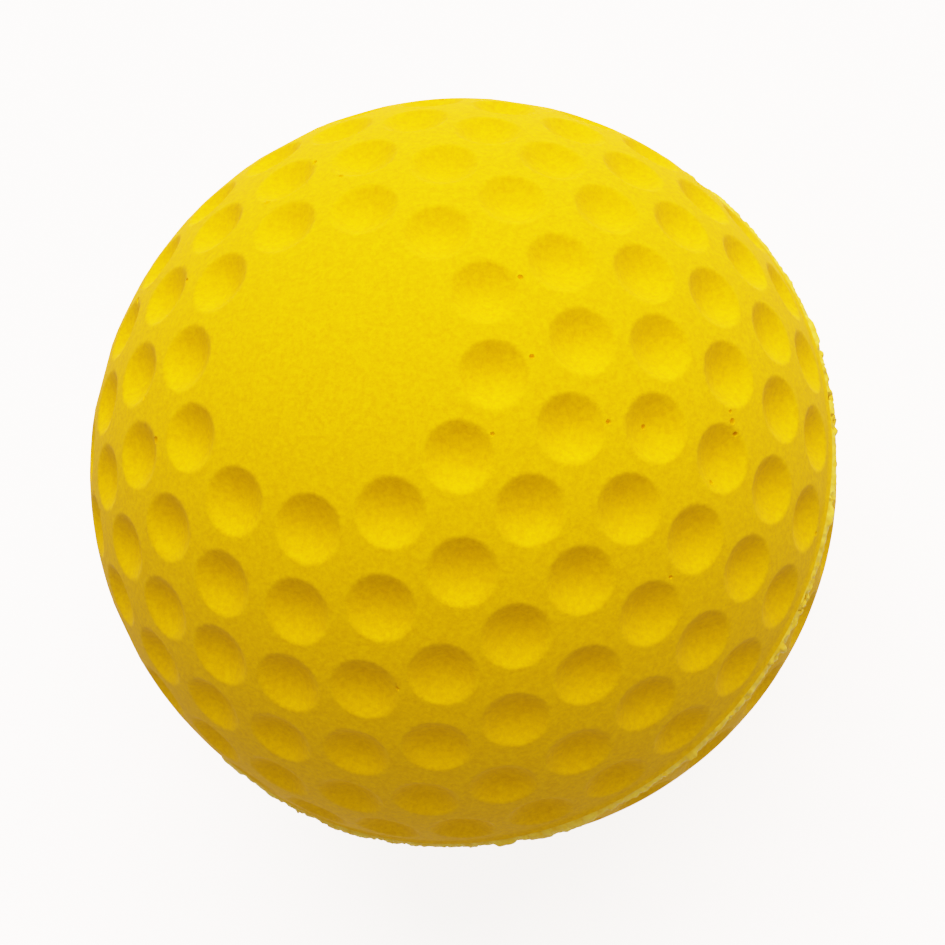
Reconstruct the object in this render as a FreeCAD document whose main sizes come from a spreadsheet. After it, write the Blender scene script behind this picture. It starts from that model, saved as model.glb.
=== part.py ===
"""A moulded golf ball: a rubber core, a mantle in two halves, two dimpled cover halves and their flash.

Millimetres and degrees. The origin is the ball's centre, the XY plane is the cover's parting plane, and +Z
is the mould axis, which leaves the ball through the middle of the smooth panel on the upper cover half.
"""
import FreeCAD, Part
import math
import os

import Sketcher
from FreeCAD import Placement, Rotation, Vector

# The driving sizes. Each becomes a named cell of the document's sheet.
SIZES = {
    "BallDiameter": 42.67,
    "CoverThickness": 1.8,
    "MantleThickness": 1.3,
    "DimpleDiameter": 3.55,
    "DimpleDepth": 0.75,
    "RingPitch": 11.65,  # the angle at the centre of the ball from one ring of dimples to the next
    "FlashProud": 0.45,
    "FlashRootDepth": 0.5,
    "FlashRootHalfWidth": 0.2,
    "FlashTipHalfWidth": 0.07,
}

# The sizes that follow from them. A dimple is the part of a small sphere, the bowl, that cuts into the ball.
DERIVED_SIZES = {
    "BallRadius": "BallDiameter / 2",
    "CoverInnerRadius": "BallRadius - CoverThickness",
    "CoreRadius": "CoverInnerRadius - MantleThickness",
    "FlashTipRadius": "BallRadius + FlashProud",
    "FlashRootRadius": "BallRadius - FlashRootDepth",
    "RimRadius": "DimpleDiameter / 2",
    "RimHeight": "sqrt(BallRadius ^ 2 - RimRadius ^ 2)",
    "BowlDepth": "DimpleDepth - BallRadius + RimHeight",
    "BowlRadius": "(RimRadius ^ 2 + BowlDepth ^ 2) / (2 * BowlDepth)",
    "BowlCentreHeight": "BallRadius - DimpleDepth + BowlRadius",
}

# Each ring of dimples round the mould axis: its pitches from the pole, its number of dimples, and the
# longitude of its first dimple. Both cover halves have the outer rings, and only the lower one, which has
# no smooth panel, has the ring next to the pole and the dimple on it.
OUTER_RINGS = [
    (2, 12, 0.0),
    (3, 17, 12.16),
    (4, 23, 12.49),
    (5, 26, 10.11),
    (6, 29, 7.57),
    (7, 30, 6.43),
]
INNER_RINGS = [(0, 1, 0.0), (1, 6, 0.0)]

# The sketcher's numbers for a curve's start, end and centre, and for a sketch's origin and two axes.
START, END, CENTRE = 1, 2, 3
ORIGIN = -1, 1
HORIZONTAL_AXIS, VERTICAL_AXIS = -1, -2

document = FreeCAD.newDocument("GolfBall")


def make_sheet():
    """Puts each size in column B of a sheet, under its name as an alias."""
    sheet = document.addObject("Spreadsheet::Sheet", "Sizes")
    cells = {name: str(value) for name, value in SIZES.items()}
    for pitches, count, longitude in INNER_RINGS + OUTER_RINGS:
        cells[f"RingCount_{pitches}"] = str(count)
        cells[f"RingLongitude_{pitches}"] = str(longitude)
    for name, formula in DERIVED_SIZES.items():
        cells[name] = "=" + formula
    for row, (name, content) in enumerate(cells.items(), start=1):
        sheet.set(f"A{row}", name)
        sheet.set(f"B{row}", content)
        sheet.setAlias(f"B{row}", name)
    document.recompute()
    return sheet


sheet = make_sheet()


def size(name):
    """A cell's number, where a sketch is first drawn. Its constraints then follow the cell."""
    return float(getattr(sheet, name))


def new_body(name):
    """An empty body, labelled with the name of its piece."""
    body = document.addObject("PartDesign::Body", name)
    body.Label = name
    return body


def origin_feature(body, role):
    """One of the body's own planes or axes."""
    return next(item for item in body.Origin.OriginFeatures if item.Role == role)


def side_sketch(body, name):
    """A sketch on the body's XZ plane, so that its vertical axis is the mould axis."""
    sketch = body.newObject("Sketcher::SketchObject", name)
    sketch.AttachmentSupport = [(origin_feature(body, "XZ_Plane"), "")]
    sketch.MapMode = "FlatFace"
    return sketch


def draw_line(sketch, first, second, construction=False):
    """A line between two points of the sketch. Returns its number."""
    return sketch.addGeometry(Part.LineSegment(Vector(*first), Vector(*second)), construction)


def draw_arc(sketch, centre, radius, from_angle, to_angle):
    """An arc, anticlockwise from one angle to another. Returns its number."""
    circle = Part.Circle(Vector(*centre), Vector(0, 0, 1), radius)
    return sketch.addGeometry(Part.ArcOfCircle(circle, math.radians(from_angle), math.radians(to_angle)))


def tie(sketch, *terms):
    """Adds a constraint that has no size."""
    sketch.addConstraint(Sketcher.Constraint(*terms))


def tie_size(sketch, formula, *terms):
    """Adds a constraint whose size follows a formula on the sheet's cells."""
    number = sketch.addConstraint(Sketcher.Constraint(*terms))
    sketch.setExpression(f"Constraints[{number}]", formula)


def close_loop(sketch, lines):
    """Joins each line's end to the start of the next, and the last to the first."""
    for line, following in zip(lines, lines[1:] + lines[:1]):
        tie(sketch, "Coincident", line, END, following, START)


def turn(body, kind, sketch, axis, name):
    """Turns a sketch a full circle about one of its axes, to add or to cut."""
    feature = body.newObject(kind, name)
    feature.Profile = sketch
    feature.ReferenceAxis = (sketch, [axis])
    feature.Angle = 360
    body.Tip = feature
    document.recompute()
    return feature


def make_core():
    """The solid rubber ball in the middle."""
    core = document.addObject("Part::Sphere", "core")
    core.Label = "core"
    core.setExpression("Radius", "Sizes.CoreRadius")
    return core


def add_half_shell(body, inner, outer):
    """Half of a hollow ball between two radii: a quarter ring turned about the mould axis."""
    sketch = side_sketch(body, body.Name + "_profile")
    rim = draw_line(sketch, (size(inner), 0), (size(outer), 0))
    skin = draw_arc(sketch, (0, 0), size(outer), 0, 90)
    pole = draw_line(sketch, (0, size(outer)), (0, size(inner)))
    cavity = draw_arc(sketch, (0, 0), size(inner), 0, 90)
    tie(sketch, "Coincident", rim, END, skin, START)
    tie(sketch, "Coincident", skin, END, pole, START)
    tie(sketch, "Coincident", pole, END, cavity, END)
    tie(sketch, "Coincident", cavity, START, rim, START)
    for arc, radius in ((skin, outer), (cavity, inner)):
        tie(sketch, "Coincident", arc, CENTRE, *ORIGIN)
        tie(sketch, "PointOnObject", arc, START, HORIZONTAL_AXIS)
        tie(sketch, "PointOnObject", arc, END, VERTICAL_AXIS)
        tie_size(sketch, f"Sizes.{radius}", "Radius", arc, size(radius))
    turn(body, "PartDesign::Revolution", sketch, "V_Axis", body.Name + "_shell")


def make_mantle_half(name, tilt):
    """Half of the stiff layer between core and cover. The tilt is about the X axis, from pole upwards."""
    body = new_body(name)
    add_half_shell(body, "CoreRadius", "CoverInnerRadius")
    body.Placement = Placement(Vector(), Rotation(Vector(1, 0, 0), tilt))
    return body


def cut_flash_root(body):
    """Bevels the shell's outer edge, as half of the V-shaped root that the flash grows from."""
    sketch = side_sketch(body, body.Name + "_bevel")
    root, rim, width = size("FlashRootRadius"), size("BallRadius"), size("FlashRootHalfWidth")
    slope = draw_line(sketch, (root, 0), (rim, width))
    side = draw_line(sketch, (rim, width), (rim, 0))
    floor = draw_line(sketch, (rim, 0), (root, 0))
    close_loop(sketch, [slope, side, floor])
    tie(sketch, "Vertical", side)
    tie(sketch, "PointOnObject", floor, START, HORIZONTAL_AXIS)
    tie(sketch, "PointOnObject", floor, END, HORIZONTAL_AXIS)
    tie_size(sketch, "Sizes.BallRadius", "DistanceX", *ORIGIN, floor, START, rim)
    tie_size(sketch, "Sizes.FlashRootRadius", "DistanceX", *ORIGIN, floor, END, root)
    tie_size(sketch, "Sizes.FlashRootHalfWidth", "DistanceY", *ORIGIN, slope, END, width)
    turn(body, "PartDesign::Groove", sketch, "V_Axis", body.Name + "_flash_root")


def cut_dimple_ring(body, pitches, count, turned_over):
    """Cuts one dimple on the ring's first longitude and repeats it round the mould axis."""
    name = f"{body.Name}_ring_{pitches}"
    sketch = side_sketch(body, name + "_profile")
    sign = -1 if turned_over else 1
    longitude = f"{sign} * Sizes.RingLongitude_{pitches} * 1 deg"
    sketch.AttachmentOffset = Placement(Vector(), Rotation(Vector(0, 1, 0), 1))
    sketch.setExpression("AttachmentOffset.Rotation.Angle", longitude)

    elevation = 90 - size("RingPitch") * pitches
    out = Vector(math.cos(math.radians(elevation)), math.sin(math.radians(elevation)))
    centre = out * size("BowlCentreHeight")
    bottom = centre - out * size("BowlRadius")
    top = centre + out * size("BowlRadius")
    spoke = draw_line(sketch, (0, 0), centre, construction=True)
    bowl = draw_arc(sketch, centre, size("BowlRadius"), elevation - 180, elevation)
    diameter = draw_line(sketch, bottom, top)
    tie(sketch, "Coincident", spoke, START, *ORIGIN)
    tie(sketch, "Coincident", bowl, CENTRE, spoke, END)
    tie(sketch, "Coincident", diameter, START, bowl, START)
    tie(sketch, "Coincident", diameter, END, bowl, END)
    tie(sketch, "PointOnObject", bowl, START, spoke)
    tie(sketch, "PointOnObject", bowl, END, spoke)
    tie_size(sketch, "Sizes.BowlCentreHeight", "Distance", spoke, size("BowlCentreHeight"))
    tie_size(sketch, "Sizes.BowlRadius", "Radius", bowl, size("BowlRadius"))
    tie_size(sketch, f"90 deg - Sizes.RingPitch * {pitches} * 1 deg", "Angle", spoke, math.radians(elevation))

    before = body.Shape.Volume
    dimple = turn(body, "PartDesign::Groove", sketch, "Axis0", name + "_dimple")
    if body.Shape.Volume >= before:
        raise RuntimeError(f"{name}: the first dimple cuts nothing")
    if count == 1:
        return
    pattern = body.newObject("PartDesign::PolarPattern", name)
    pattern.Originals = [dimple]
    pattern.Axis = (origin_feature(body, "Z_Axis"), [""])
    pattern.Angle = 360
    pattern.setExpression("Occurrences", f"Sizes.RingCount_{pitches}")
    body.Tip = pattern
    document.recompute()


def make_cover_half(name, rings, turned_over):
    """A dimpled half shell. It is made pole upwards, and the lower one is then turned over about X.

    Turning over about X mirrors every longitude, so the lower half's are mirrored first: the halves of the
    mould were cut alike, and their dimples face each other across the parting plane.
    """
    body = new_body(name)
    add_half_shell(body, "CoverInnerRadius", "BallRadius")
    cut_flash_root(body)
    for pitches, count, _ in rings:
        cut_dimple_ring(body, pitches, count, turned_over)
    body.Placement = Placement(Vector(), Rotation(Vector(1, 0, 0), 180 if turned_over else 0))
    return body


def make_flash():
    """The thin fin of cover material that the mould squeezed out between its halves."""
    body = new_body("seam_flash")
    sketch = side_sketch(body, "seam_flash_profile")
    root, rim, tip = size("FlashRootRadius"), size("BallRadius"), size("FlashTipRadius")
    base, edge = size("FlashRootHalfWidth"), size("FlashTipHalfWidth")
    corners = [(root, 0), (rim, -base), (tip, -edge), (tip, edge), (rim, base)]
    lines = [draw_line(sketch, *pair) for pair in zip(corners, corners[1:] + corners[:1])]
    close_loop(sketch, lines)
    under_root, under_fin, face, over_fin, over_root = lines
    tie(sketch, "PointOnObject", under_root, START, HORIZONTAL_AXIS)
    tie(sketch, "Symmetric", face, START, face, END, HORIZONTAL_AXIS)
    tie(sketch, "Symmetric", under_fin, START, over_root, START, HORIZONTAL_AXIS)
    tie_size(sketch, "Sizes.FlashRootRadius", "DistanceX", *ORIGIN, under_root, START, root)
    tie_size(sketch, "Sizes.BallRadius", "DistanceX", *ORIGIN, over_root, START, rim)
    tie_size(sketch, "Sizes.FlashTipRadius", "DistanceX", *ORIGIN, over_fin, START, tip)
    tie_size(sketch, "Sizes.FlashRootHalfWidth", "DistanceY", *ORIGIN, over_root, START, base)
    tie_size(sketch, "Sizes.FlashTipHalfWidth", "DistanceY", *ORIGIN, over_fin, START, edge)
    turn(body, "PartDesign::Revolution", sketch, "V_Axis", "seam_flash_fin")
    return body


pieces = [
    make_core(),
    make_mantle_half("mantle_front_half", 90),
    make_mantle_half("mantle_back_half", -90),
    make_cover_half("cover_upper_half", OUTER_RINGS, turned_over=False),
    make_cover_half("cover_lower_half", INNER_RINGS + OUTER_RINGS, turned_over=True),
    make_flash(),
]
document.recompute()

failed = [item.Name for item in document.Objects if {"Invalid", "Error"} & set(item.State)]
if failed:
    raise RuntimeError(f"these objects failed: {failed}")
os.makedirs("parts", exist_ok=True)
for piece in pieces:
    if piece.Shape.isNull() or not piece.Shape.isValid() or len(piece.Shape.Solids) != 1:
        raise RuntimeError(f"{piece.Label} isn't one valid solid")
    piece.Shape.exportStep(f"parts/{piece.Label}.step")
    print(f"{piece.Label}: {piece.Shape.Volume:.1f} mm3, {len(piece.Shape.Faces)} faces")
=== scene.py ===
"""The looks of a moulded golf ball: dimpled cover skins, the ragged flash along the parting line, and the
layers inside. Metres and degrees. The ball's centre is the origin; +Z leaves through the smooth panel."""
import math
import random

import bpy
import numpy as np
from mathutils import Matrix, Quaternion, Vector


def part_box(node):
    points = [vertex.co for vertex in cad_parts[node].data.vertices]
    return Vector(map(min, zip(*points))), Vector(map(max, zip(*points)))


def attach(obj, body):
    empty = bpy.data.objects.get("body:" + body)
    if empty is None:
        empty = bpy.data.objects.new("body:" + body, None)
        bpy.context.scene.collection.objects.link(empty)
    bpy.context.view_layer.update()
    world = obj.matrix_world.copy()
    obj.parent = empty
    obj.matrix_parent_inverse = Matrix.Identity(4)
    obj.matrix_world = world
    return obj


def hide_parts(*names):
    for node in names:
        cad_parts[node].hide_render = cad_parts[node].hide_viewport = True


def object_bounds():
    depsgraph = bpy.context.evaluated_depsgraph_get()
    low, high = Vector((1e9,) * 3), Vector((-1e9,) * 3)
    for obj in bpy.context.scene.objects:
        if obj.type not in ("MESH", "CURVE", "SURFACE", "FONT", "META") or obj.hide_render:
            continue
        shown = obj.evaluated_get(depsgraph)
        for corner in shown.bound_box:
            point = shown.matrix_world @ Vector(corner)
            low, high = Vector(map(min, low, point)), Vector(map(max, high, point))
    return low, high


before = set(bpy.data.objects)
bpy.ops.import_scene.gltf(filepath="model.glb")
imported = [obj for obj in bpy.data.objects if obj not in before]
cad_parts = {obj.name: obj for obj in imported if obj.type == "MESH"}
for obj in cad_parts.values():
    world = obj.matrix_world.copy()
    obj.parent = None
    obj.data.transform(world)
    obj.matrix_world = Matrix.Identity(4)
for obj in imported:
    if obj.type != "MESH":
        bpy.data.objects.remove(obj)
cad_low, cad_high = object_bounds()

MM = 0.001

# Sizes that come from the fixed frame.
BALL_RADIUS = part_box("cover_upper_half")[1].z
CAVITY_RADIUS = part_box("mantle_front_half")[1].z
REST_HEIGHT = cad_low.z

# The dimple rings, as the mould was cut: pitches from the pole, number of dimples, longitude of the first.
RING_PITCH = 11.65
OUTER_RINGS = [
    (2, 12, 0.0),
    (3, 17, 12.16),
    (4, 23, 12.49),
    (5, 26, 10.11),
    (6, 29, 7.57),
    (7, 30, 6.43),
]
INNER_RINGS = [(0, 1, 0.0), (1, 6, 0.0)]
DIMPLE_RADIUS = 1.775 * MM
DIMPLE_DEPTH = 0.75 * MM
RIM_SWELL_RADIUS = 2.0 * MM
RIM_SWELL_HEIGHT = 0.1 * MM
SMOOTHING_FACTOR = 0.5
RIM_SOFTENING_PASSES = 3

# A skin is shaped on a very fine mesh, and then thinned where it is smooth to this share of its triangles.
SKIN_FINENESS = 9
KEPT_SHARE = 0.27
CAVITY_SEGMENTS = 128
CAVITY_RINGS = 64
CREASE_ANGLE = 40

# How close two places are when they count as one: along a cut, and when a loop of points is looked for.
CUT_SLACK = 0.001 * MM
LOOP_SLACK = 0.002 * MM

# Each cover half's edge swells to a low lip, then slopes down to the parting plane as half of a V.
LIP_HEIGHT = 0.38 * MM
LIP_SWELL = 0.12 * MM
LIP_REACH = 0.35 * MM
ROOT_RADIUS = BALL_RADIUS - 0.4 * MM

# The flash: its loops of points, as (height above the round skin, share of the full thickness).
FLASH_POINTS_ROUND = 1440
FLASH_THICKNESS = 0.8 * MM
FLASH_LOOPS = [(-0.4 * MM, 0.04), (0.1 * MM, 1.0), (0.15 * MM, 0.7), (0.2 * MM, 0.45), (0.25 * MM, 0.22)]
FLASH_CRUMBLE = 0.14 * MM
CRUMBLE_SEED = 5
CRUMBLE_SOFTENING_PASSES = 2

# Where the flash is torn off or hangs on as flaps: (longitude, half width in degrees, extra reach, droop).
FLAPS = [
    (26, 3.0, 0.23 * MM, 0.0),
    (36, 4.0, 0.06 * MM, 0.0),
    (14, 3.5, -0.15 * MM, 0.0),
    (4.5, 5.0, 0.08 * MM, 0.0),
    (357, 2.0, 0.24 * MM, 0.0),
    (336.5, 0.8, 0.24 * MM, 0.5 * MM),
    (316.5, 1.1, 0.22 * MM, 0.15 * MM),
    (308, 0.9, 0.18 * MM, 0.1 * MM),
    (295, 7.0, 0.18 * MM, 0.35 * MM),
    (286, 2.0, 0.22 * MM, 0.0),
]

# More flaps where the flash isn't seen, and small bites all round it. Each range is (least, most).
UNSEEN_FLAPS = 24
UNSEEN_LONGITUDES = (45, 265)
FLAP_HALF_WIDTHS = (1, 6)
FLAP_REACHES = (-0.1, 0.22)
FLAP_DROOPS = (-0.1, 0.3)
BITES = 150
BITE_HALF_WIDTHS = (0.4, 1.6)
BITE_REACHES = (-0.08, 0.06)

# Pinholes that air left in the skin: (angle from the pole, longitude, size).
PINHOLE_RADII = {"small": 0.1 * MM, "medium": 0.13 * MM, "large": 0.17 * MM}
PINHOLE_DEPTH_TO_RADIUS = 1.6
PINHOLE_MARGIN = 0.15 * MM
PINHOLES = [
    (28.5, 31.5, "medium"),
    (28.0, 7.0, "medium"),
    (39.5, 355.0, "medium"),
    (25.5, 341.5, "small"),
    (46.0, 357.0, "medium"),
    (59.0, 2.5, "large"),
    (60.0, 0.5, "medium"),
    (58.5, 4.0, "small"),
    (58.0, 352.5, "medium"),
    (47.0, 285.0, "small"),
    (57.5, 335.0, "small"),
    (79.0, 307.0, "medium"),
    (86.5, 353.5, "medium"),
]
HIDDEN_PINHOLES = 14
BACK_LONGITUDES = (80, 230)
ALL_LONGITUDES = (0, 360)
BLANK_PANEL_PITCHES = 2

# The camera stands this far from the ball's centre and looks straight at it.
CAMERA_DISTANCE = 6.0 * BALL_RADIUS
CAMERA_AZIMUTH = 57.0
CAMERA_ELEVATION = 65.0
CAMERA_ROLL = -50.4
CAMERA_LENS = 84.2
CAMERA_SHIFT = (0.0095, -0.001)

# The floor is a light table, which lights nothing but itself.
FLOOR_WIDTH = 4.0
FLOOR_GLOW = 2.0

# One broad lamp over the ball, at so much up and so much back towards the camera, and a weak warm surround.
KEY_UP = 0.85
KEY_BACK = 0.53
KEY_SPREAD = 76.0
KEY_STRENGTH = 6.7
KEY_COLOUR = (1.0, 0.80, 0.72)
SURROUND_COLOUR = (1.0, 0.76, 0.62)
SURROUND_STRENGTH = 0.645

# Amounts of light at which the film's response is set.
FILM_LEVELS = [0.1, 0.25, 0.5, 0.75, 1.0, 1.5, 2.0, 3.0, 4.5]
BRIGHTEST_LEVEL = 8.0

# The seed of everything that is left to chance in the layout of the pinholes and the flash.
LAYOUT_SEED = 11


# ---------------------------------------------------------------- working by hand

def deselect_everything():
    """Leaves edit mode and selects nothing, because operators act on all that is selected."""
    if bpy.context.object and bpy.context.object.mode != "OBJECT":
        bpy.ops.object.mode_set(mode="OBJECT")
    bpy.ops.object.select_all(action="DESELECT")


def select_only(piece):
    deselect_everything()
    piece.select_set(True)
    bpy.context.view_layer.objects.active = piece


def edit(piece):
    """Enters edit mode on one piece alone, in vertex select mode."""
    select_only(piece)
    bpy.ops.object.mode_set(mode="EDIT")
    bpy.ops.mesh.select_mode(type="VERT")


def places(piece):
    """Every vertex's place, as rows of x, y and z. The piece is in object mode."""
    mesh = piece.data
    flat = np.empty(len(mesh.vertices) * 3)
    mesh.vertices.foreach_get("co", flat)
    return flat.reshape(-1, 3)


def select_vertices(piece, chosen):
    """Selects just the vertices that a mask marks, and goes back to edit mode."""
    mesh = piece.data
    mesh.polygons.foreach_set("select", np.zeros(len(mesh.polygons), bool))
    mesh.edges.foreach_set("select", np.zeros(len(mesh.edges), bool))
    mesh.vertices.foreach_set("select", np.asarray(chosen, bool))
    edit(piece)


def direction(colatitude, longitude):
    """The unit vector at an angle from +Z and an angle round it from +X."""
    tilt, turn = math.radians(colatitude), math.radians(longitude)
    return Vector((math.sin(tilt) * math.cos(turn), math.sin(tilt) * math.sin(turn), math.cos(tilt)))


# ---------------------------------------------------------------- cover halves

def on_skin(colatitude, longitude, side):
    """A place on the round skin. Side is 1 above the parting plane and -1 below."""
    out = direction(colatitude, longitude)
    return Vector((out.x, out.y, side * out.z)) * BALL_RADIUS


def dimple_centres(rings, side):
    """Where the dimples' middles lie on the round skin."""
    centres = []
    for pitches, count, first in rings:
        for number in range(count):
            centres.append(on_skin(RING_PITCH * pitches, first + 360 * number / count, side))
    return centres


def nearest_vertices(piece, points):
    """The numbers of the vertices that lie nearest to the points."""
    spots = places(piece)
    return [np.argmin(np.square(spots - np.array(point)).sum(axis=1)) for point in points]


def press_in(piece, points, radius, depth, falloff):
    """Pushes the skin in round each point, to a bowl of a radius and depth. A negative depth goes out."""
    middles = np.zeros(len(piece.data.vertices), bool)
    middles[nearest_vertices(piece, points)] = True
    select_vertices(piece, middles)
    bpy.ops.transform.shrink_fatten(
        value=-depth,
        use_even_offset=False,
        use_proportional_edit=True,
        proportional_edit_falloff=falloff,
        proportional_size=radius,
        use_proportional_connected=False,
        use_proportional_projected=False,
    )
    deselect_everything()


def extrude_loop(from_radius, to_radius, rise=0.0):
    """Extrudes the selected loop round the ball's axis to another radius, and raises it."""
    bpy.ops.mesh.extrude_edges_move()
    grow = to_radius / from_radius
    bpy.ops.transform.resize(value=(grow, grow, 1), center_override=(0, 0, 0))
    bpy.ops.transform.translate(value=(0, 0, rise))


def near(values, wanted):
    """A mask of the values that are as wanted, within the slack."""
    return abs(values - wanted) < LOOP_SLACK


def keep_half(side, height):
    """Cuts the ball in edit mode at a height, and keeps the part further from the parting plane, open."""
    bpy.ops.mesh.select_all(action="SELECT")
    bpy.ops.mesh.bisect(
        plane_co=(0, 0, side * height),
        plane_no=(0, 0, side),
        clear_inner=True,
        threshold=CUT_SLACK,
    )


def cavity_wall(side):
    """Half a ball with its faces turned towards the middle."""
    deselect_everything()
    bpy.ops.mesh.primitive_uv_sphere_add(
        segments=CAVITY_SEGMENTS, ring_count=CAVITY_RINGS, radius=CAVITY_RADIUS
    )
    wall = bpy.context.object
    edit(wall)
    keep_half(side, 0)
    bpy.ops.mesh.select_all(action="SELECT")
    bpy.ops.mesh.flip_normals()
    deselect_everything()
    return wall


def close_shell(skin, side):
    """Takes the skin's open edge over its lip to the parting plane, and joins on the cavity's wall."""
    spots = places(skin)
    edge = near(spots[:, 2], side * LIP_HEIGHT)
    edge_radius = np.hypot(spots[edge, 0], spots[edge, 1]).mean()
    select_vertices(skin, edge)
    swell = (edge_radius + LIP_SWELL) / edge_radius
    bpy.ops.transform.resize(
        value=(swell, swell, 1),
        center_override=(0, 0, 0),
        use_proportional_edit=True,
        proportional_edit_falloff="LINEAR",
        proportional_size=LIP_REACH,
    )
    extrude_loop(edge_radius + LIP_SWELL, ROOT_RADIUS, -side * LIP_HEIGHT)
    rim_radius = (ROOT_RADIUS + CAVITY_RADIUS) / 2
    extrude_loop(ROOT_RADIUS, rim_radius)

    wall = cavity_wall(side)
    wall.select_set(True)
    skin.select_set(True)
    bpy.context.view_layer.objects.active = skin
    bpy.ops.object.join()
    spots = places(skin)
    around = np.hypot(spots[:, 0], spots[:, 1])
    in_plane = near(spots[:, 2], 0)
    select_vertices(skin, in_plane & (near(around, rim_radius) | near(around, CAVITY_RADIUS)))
    bpy.ops.mesh.bridge_edge_loops()
    bpy.ops.mesh.select_all(action="SELECT")
    bpy.ops.mesh.normals_make_consistent(inside=False)
    deselect_everything()


def pierce(skin, holes, side):
    """Divides the skin finely round its pinholes and pushes them in, one size at a time."""
    by_size = {size: [] for size in PINHOLE_RADII}
    for colatitude, longitude, size in holes:
        by_size[size].append(on_skin(colatitude, longitude, side))

    spots = places(skin)
    fine = np.zeros(len(spots), bool)
    for size, radius in PINHOLE_RADII.items():
        for number in nearest_vertices(skin, by_size[size]):
            fine |= np.linalg.norm(spots - spots[number], axis=1) < radius + PINHOLE_MARGIN
    select_vertices(skin, fine)
    bpy.ops.mesh.subdivide(number_cuts=1)
    deselect_everything()
    for size, radius in PINHOLE_RADII.items():
        press_in(skin, by_size[size], radius, PINHOLE_DEPTH_TO_RADIUS * radius, "SPHERE")


def hidden_pinholes(rings, chance, longitude_range):
    """Random pinholes at dimples' rims, between two longitudes and clear of the ring beside the pole."""
    first_longitude, last_longitude = longitude_range
    holes = []
    while len(holes) < HIDDEN_PINHOLES:
        pitches, count, first = chance.choice(rings)
        longitude = (first + 360 * chance.randrange(count) / count) % 360
        if first_longitude < longitude < last_longitude and pitches > BLANK_PANEL_PITCHES:
            bearing = chance.uniform(0, 2 * math.pi)
            rim_angle = math.degrees(DIMPLE_RADIUS / BALL_RADIUS)
            colatitude = RING_PITCH * pitches + rim_angle * math.cos(bearing)
            longitude += rim_angle * math.sin(bearing) / math.sin(math.radians(colatitude))
            holes.append((colatitude, longitude, chance.choice(list(PINHOLE_RADII))))
    return holes


def make_cover_skin(name, rings, side, holes):
    """A half shell: a fine ball cut in half, dimpled, pierced by pinholes and closed by its inner wall."""
    deselect_everything()
    bpy.ops.mesh.primitive_ico_sphere_add(subdivisions=SKIN_FINENESS, radius=BALL_RADIUS)
    skin = bpy.context.object
    skin.name = name

    edit(skin)
    keep_half(side, LIP_HEIGHT)
    deselect_everything()

    centres = dimple_centres(rings, side)
    press_in(skin, centres, RIM_SWELL_RADIUS, -RIM_SWELL_HEIGHT, "INVERSE_SQUARE")
    press_in(skin, centres, DIMPLE_RADIUS, DIMPLE_DEPTH + RIM_SWELL_HEIGHT, "INVERSE_SQUARE")
    select_vertices(skin, places(skin)[:, 2] * side > LIP_HEIGHT + LIP_REACH)
    bpy.ops.mesh.vertices_smooth(factor=SMOOTHING_FACTOR, repeat=RIM_SOFTENING_PASSES)
    deselect_everything()

    pierce(skin, holes, side)
    close_shell(skin, side)
    thinner = skin.modifiers.new("thinner", "DECIMATE")
    thinner.ratio = KEPT_SHARE
    bpy.ops.object.modifier_apply(modifier=thinner.name)
    return skin


def shade_smooth(piece):
    """Smooth shading, with creases left sharp."""
    select_only(piece)
    bpy.ops.object.shade_smooth_by_angle(angle=math.radians(CREASE_ANGLE))


# ---------------------------------------------------------------- flash

def longitudes(spots):
    """Each place's angle round the ball's axis, from 0 to 360."""
    return np.degrees(np.arctan2(spots[:, 1], spots[:, 0])) % 360


def angle_between(first, second):
    """How far apart two longitudes are, the short way round."""
    return abs((first - second + 180) % 360 - 180)


def pull_edge(fin, edge, longitude, half_width, reach, droop=0.0):
    """Draws a stretch of the fin's edge out or in, and lets it droop over the lower half."""
    core = edge & (angle_between(longitudes(places(fin)), longitude) < half_width / 2)
    if not core.any():
        return
    select_vertices(fin, core)
    out = direction(90, longitude) * reach
    bpy.ops.transform.translate(
        value=(out.x, out.y, -droop),
        use_proportional_edit=True,
        proportional_edit_falloff="SMOOTH",
        proportional_size=math.radians(half_width / 2) * BALL_RADIUS,
    )
    deselect_everything()


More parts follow.
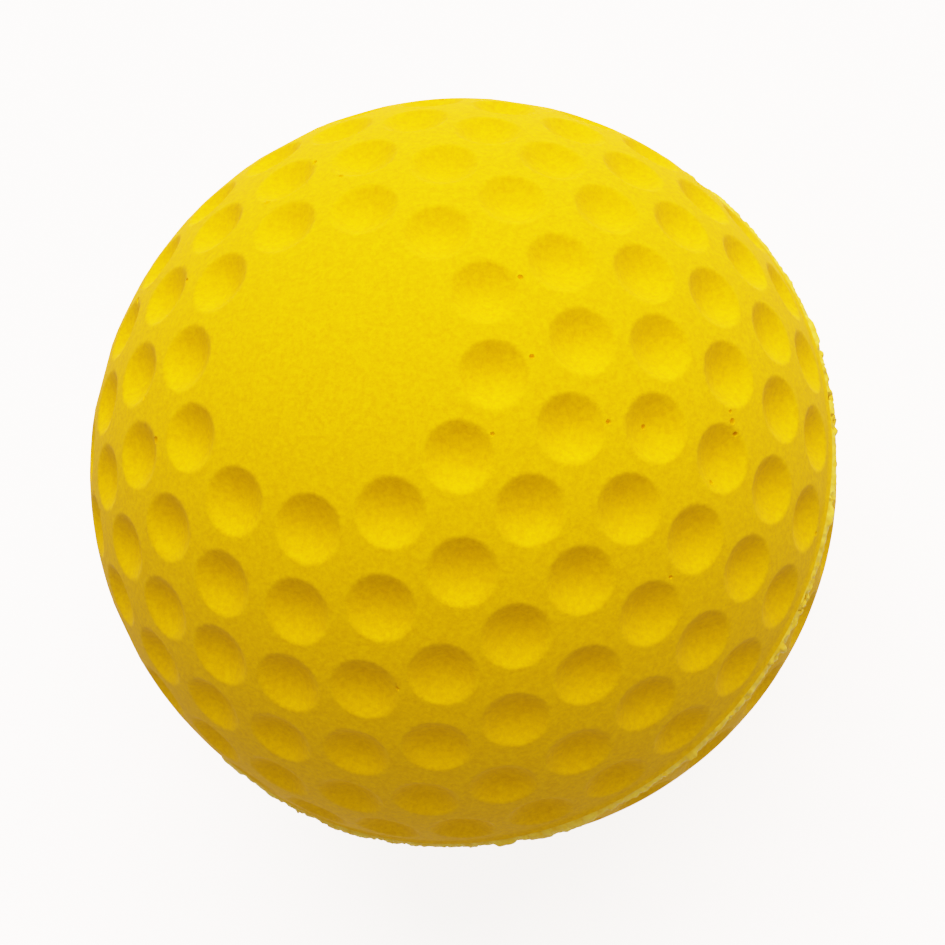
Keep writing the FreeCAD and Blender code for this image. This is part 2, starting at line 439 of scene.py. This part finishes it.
def make_flash(chance):
    """The ragged fin: loops drawn out from a circle, torn and pulled at the edge, then thickened."""
    deselect_everything()
    radii = [BALL_RADIUS + height for height, share in FLASH_LOOPS]
    bpy.ops.mesh.primitive_circle_add(vertices=FLASH_POINTS_ROUND, radius=radii[0], fill_type="NOTHING")
    fin = bpy.context.object
    fin.name = "ragged_flash"
    edit(fin)
    bpy.ops.mesh.select_all(action="SELECT")
    for inner, outer in zip(radii, radii[1:]):
        extrude_loop(inner, outer)
    deselect_everything()

    spots = places(fin)
    around = np.hypot(spots[:, 0], spots[:, 1])
    thickness = fin.vertex_groups.new(name="thickness")
    for radius, (height, share) in zip(radii, FLASH_LOOPS):
        loop = np.flatnonzero(near(around, radius))
        thickness.add([int(number) for number in loop], share, "REPLACE")

    # Only the edge moves: the other loops stay hidden while it is worked on.
    edge = near(around, radii[-1])
    select_vertices(fin, ~edge)
    bpy.ops.mesh.hide()
    deselect_everything()
    for longitude, half_width, reach, droop in FLAPS:
        pull_edge(fin, edge, longitude, half_width, reach, droop)
    for _ in range(UNSEEN_FLAPS):
        reach = chance.uniform(*FLAP_REACHES) * MM
        droop = chance.uniform(*FLAP_DROOPS) * MM
        longitude = chance.uniform(*UNSEEN_LONGITUDES)
        half_width = chance.uniform(*FLAP_HALF_WIDTHS)
        pull_edge(fin, edge, longitude, half_width, reach, droop)
    for _ in range(BITES):
        longitude = chance.uniform(*ALL_LONGITUDES)
        half_width = chance.uniform(*BITE_HALF_WIDTHS)
        reach = chance.uniform(*BITE_REACHES) * MM
        pull_edge(fin, edge, longitude, half_width, reach)

    # The fin outside the skin crumbles a little, in bumps a few points wide.
    edit(fin)
    bpy.ops.mesh.reveal(select=False)
    deselect_everything()
    select_vertices(fin, around > BALL_RADIUS)
    bpy.ops.transform.vertex_random(offset=FLASH_CRUMBLE, seed=CRUMBLE_SEED)
    bpy.ops.mesh.vertices_smooth(factor=SMOOTHING_FACTOR, repeat=CRUMBLE_SOFTENING_PASSES)
    deselect_everything()

    solidify = fin.modifiers.new("thickness", "SOLIDIFY")
    solidify.thickness = FLASH_THICKNESS
    solidify.offset = 0
    solidify.vertex_group = "thickness"
    bpy.context.view_layer.objects.active = fin
    bpy.ops.object.modifier_apply(modifier=solidify.name)
    edit(fin)
    bpy.ops.mesh.select_all(action="SELECT")
    bpy.ops.mesh.normals_make_consistent(inside=False)
    deselect_everything()
    return fin


chance = random.Random(LAYOUT_SEED)
upper_holes = PINHOLES + hidden_pinholes(OUTER_RINGS, chance, BACK_LONGITUDES)
lower_holes = hidden_pinholes(OUTER_RINGS, chance, ALL_LONGITUDES)
upper_skin = make_cover_skin("dimpled_upper_skin", OUTER_RINGS, 1, upper_holes)
lower_skin = make_cover_skin("dimpled_lower_skin", INNER_RINGS + OUTER_RINGS, -1, lower_holes)
flash = make_flash(chance)
for piece, node, finish in (
    (upper_skin, "cover_upper_half", "cover_skin"),
    (lower_skin, "cover_lower_half", "cover_skin"),
    (flash, "seam_flash", "flash_skin"),
):
    shade_smooth(piece)
    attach(piece, "root")
    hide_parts(node)


# ---------------------------------------------------------------- finishes

def new_material(name):
    """A material with an empty node tree, its output and a Principled shader joined to it."""
    material = bpy.data.materials.new(name)
    material.use_nodes = True
    tree = material.node_tree
    tree.nodes.clear()
    output = tree.nodes.new("ShaderNodeOutputMaterial")
    shader = tree.nodes.new("ShaderNodeBsdfPrincipled")
    tree.links.new(shader.outputs["BSDF"], output.inputs["Surface"])
    return material, tree, shader


def noise(tree, scale, detail=3.0, roughness=0.5):
    """A noise pattern on object coordinates. The scale is in waves per metre."""
    where = tree.nodes.new("ShaderNodeTexCoord")
    pattern = tree.nodes.new("ShaderNodeTexNoise")
    pattern.inputs["Scale"].default_value = scale
    pattern.inputs["Detail"].default_value = detail
    pattern.inputs["Roughness"].default_value = roughness
    tree.links.new(where.outputs["Object"], pattern.inputs["Vector"])
    return pattern.outputs["Fac"]


def two_tones(tree, factor, low, high, first, second):
    """A colour that goes from the first tone to the second as the factor goes from low to high."""
    ramp = tree.nodes.new("ShaderNodeValToRGB")
    ramp.color_ramp.elements[0].position = low
    ramp.color_ramp.elements[0].color = (*first, 1)
    ramp.color_ramp.elements[1].position = high
    ramp.color_ramp.elements[1].color = (*second, 1)
    tree.links.new(factor, ramp.inputs["Fac"])
    return ramp.outputs["Color"]


def moulded_yellow():
    """The cover's matt polyurethane skin: a strong yellow, finely grained."""
    material, tree, shader = new_material("moulded_yellow_skin")
    darker, brighter = (0.79, 0.465, 0.001), (0.99, 0.635, 0.001)
    mottle = noise(tree, scale=3600.0, detail=4.0, roughness=0.8)
    colour = two_tones(tree, mottle, 0.35, 0.65, darker, brighter)
    tree.links.new(colour, shader.inputs["Base Color"])
    shader.inputs["Roughness"].default_value = 0.8
    shader.inputs["Specular IOR Level"].default_value = 0.02
    shader.inputs["Specular Tint"].default_value = (1.0, 0.8, 0.0, 1)
    grain = tree.nodes.new("ShaderNodeBump")
    grain.inputs["Strength"].default_value = 0.4
    grain.inputs["Distance"].default_value = 0.03 * MM
    tree.links.new(noise(tree, scale=5200.0, detail=2.0), grain.inputs["Height"])
    tree.links.new(grain.outputs["Normal"], shader.inputs["Normal"])
    return material


def plain_finish(name, first, second, scale, roughness):
    """A finish of two close tones, one roughness and little shine."""
    material, tree, shader = new_material(name)
    colour = two_tones(tree, noise(tree, scale), 0.3, 0.7, first, second)
    tree.links.new(colour, shader.inputs["Base Color"])
    shader.inputs["Roughness"].default_value = roughness
    shader.inputs["Specular IOR Level"].default_value = 0.1
    return material


def dress(piece, material):
    """Gives a piece one material in place of any it has."""
    piece.data.materials.clear()
    piece.data.materials.append(material)


cover_yellow = moulded_yellow()
flash_yellow = plain_finish(
    "thin_flash_yellow", (0.80, 0.54, 0.004), (0.90, 0.76, 0.06), scale=2200.0, roughness=0.6
)
core_rubber = plain_finish(
    "core_rubber", (0.02, 0.05, 0.12), (0.03, 0.07, 0.16), scale=500.0, roughness=0.7
)
mantle_white = plain_finish(
    "mantle_plastic", (0.62, 0.62, 0.55), (0.70, 0.70, 0.64), scale=400.0, roughness=0.4
)

for skin in (upper_skin, lower_skin):
    dress(skin, cover_yellow)
dress(flash, flash_yellow)
dress(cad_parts["core"], core_rubber)
for half in ("mantle_front_half", "mantle_back_half"):
    dress(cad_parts[half], mantle_white)


# ---------------------------------------------------------------- floor, light and camera

def make_floor():
    """A pale floor at the ball's lowest point."""
    deselect_everything()
    bpy.ops.mesh.primitive_plane_add(size=FLOOR_WIDTH, location=(0, 0, REST_HEIGHT))
    floor = bpy.context.object
    floor.name = "floor"
    paint = plain_finish("pale_floor", (0.80, 0.80, 0.80), (0.82, 0.82, 0.82), scale=3.0, roughness=0.9)
    shader = paint.node_tree.nodes["Principled BSDF"]
    shader.inputs["Emission Color"].default_value = (1.0, 1.0, 1.0, 1)
    shader.inputs["Emission Strength"].default_value = FLOOR_GLOW
    dress(floor, paint)
    # The floor is seen, and takes the ball's shadow, but throws no light back up at it.
    floor.visible_diffuse = False


def add_soft_light(name, towards, spread, strength, colour):
    """A broad even light from a direction, as wide as a softbox that spans the given angle."""
    deselect_everything()
    bpy.ops.object.light_add(type="SUN")
    light = bpy.context.object
    light.name = name
    light.data.angle = math.radians(spread)
    light.data.energy = strength
    light.data.color = colour
    light.rotation_mode = "QUATERNION"
    light.rotation_quaternion = towards.to_track_quat("Z", "Y")


def make_camera():
    """The scene's camera, aimed at the ball's centre and rolled about its line of sight."""
    deselect_everything()
    bpy.ops.object.camera_add()
    camera = bpy.context.object
    turn, lift = math.radians(CAMERA_AZIMUTH), math.radians(CAMERA_ELEVATION)
    back = Vector((math.sin(turn) * math.cos(lift), -math.cos(turn) * math.cos(lift), math.sin(lift)))
    camera.location = back * CAMERA_DISTANCE
    camera.rotation_mode = "QUATERNION"
    level = (-back).to_track_quat("-Z", "Y")
    camera.rotation_quaternion = level @ Quaternion((0, 0, 1), math.radians(CAMERA_ROLL))
    camera.data.lens = CAMERA_LENS
    camera.data.sensor_width = 36.0
    camera.data.shift_x, camera.data.shift_y = CAMERA_SHIFT
    camera.data.clip_start = 0.01
    bpy.context.scene.camera = camera
    return camera


def develop_like_film():
    """Rolls off bright light softly, as film does: each channel comes out as 1 - exp(-light)."""
    view = bpy.context.scene.view_settings
    view.view_transform = "Standard"
    view.use_curve_mapping = True
    mapping = view.curve_mapping
    mapping.white_level = (BRIGHTEST_LEVEL, BRIGHTEST_LEVEL, BRIGHTEST_LEVEL)
    response = mapping.curves[3]
    response.points[1].location = (1, 1 - math.exp(-BRIGHTEST_LEVEL))
    for level in FILM_LEVELS:
        response.points.new(level / BRIGHTEST_LEVEL, 1 - math.exp(-level))
    mapping.update()


def light_the_surround():
    """The weak warm light that comes from all round."""
    world = bpy.data.worlds.new("studio")
    world.use_nodes = True
    background = world.node_tree.nodes["Background"]
    background.inputs["Color"].default_value = (*SURROUND_COLOUR, 1)
    background.inputs["Strength"].default_value = SURROUND_STRENGTH
    bpy.context.scene.world = world


make_floor()
camera = make_camera()
bpy.context.view_layer.update()
view_up, view_back = (camera.matrix_world.to_3x3().col[axis] for axis in (1, 2))
key_direction = view_up * KEY_UP + view_back * KEY_BACK
add_soft_light("key", key_direction, KEY_SPREAD, KEY_STRENGTH, KEY_COLOUR)
light_the_surround()
develop_like_film()
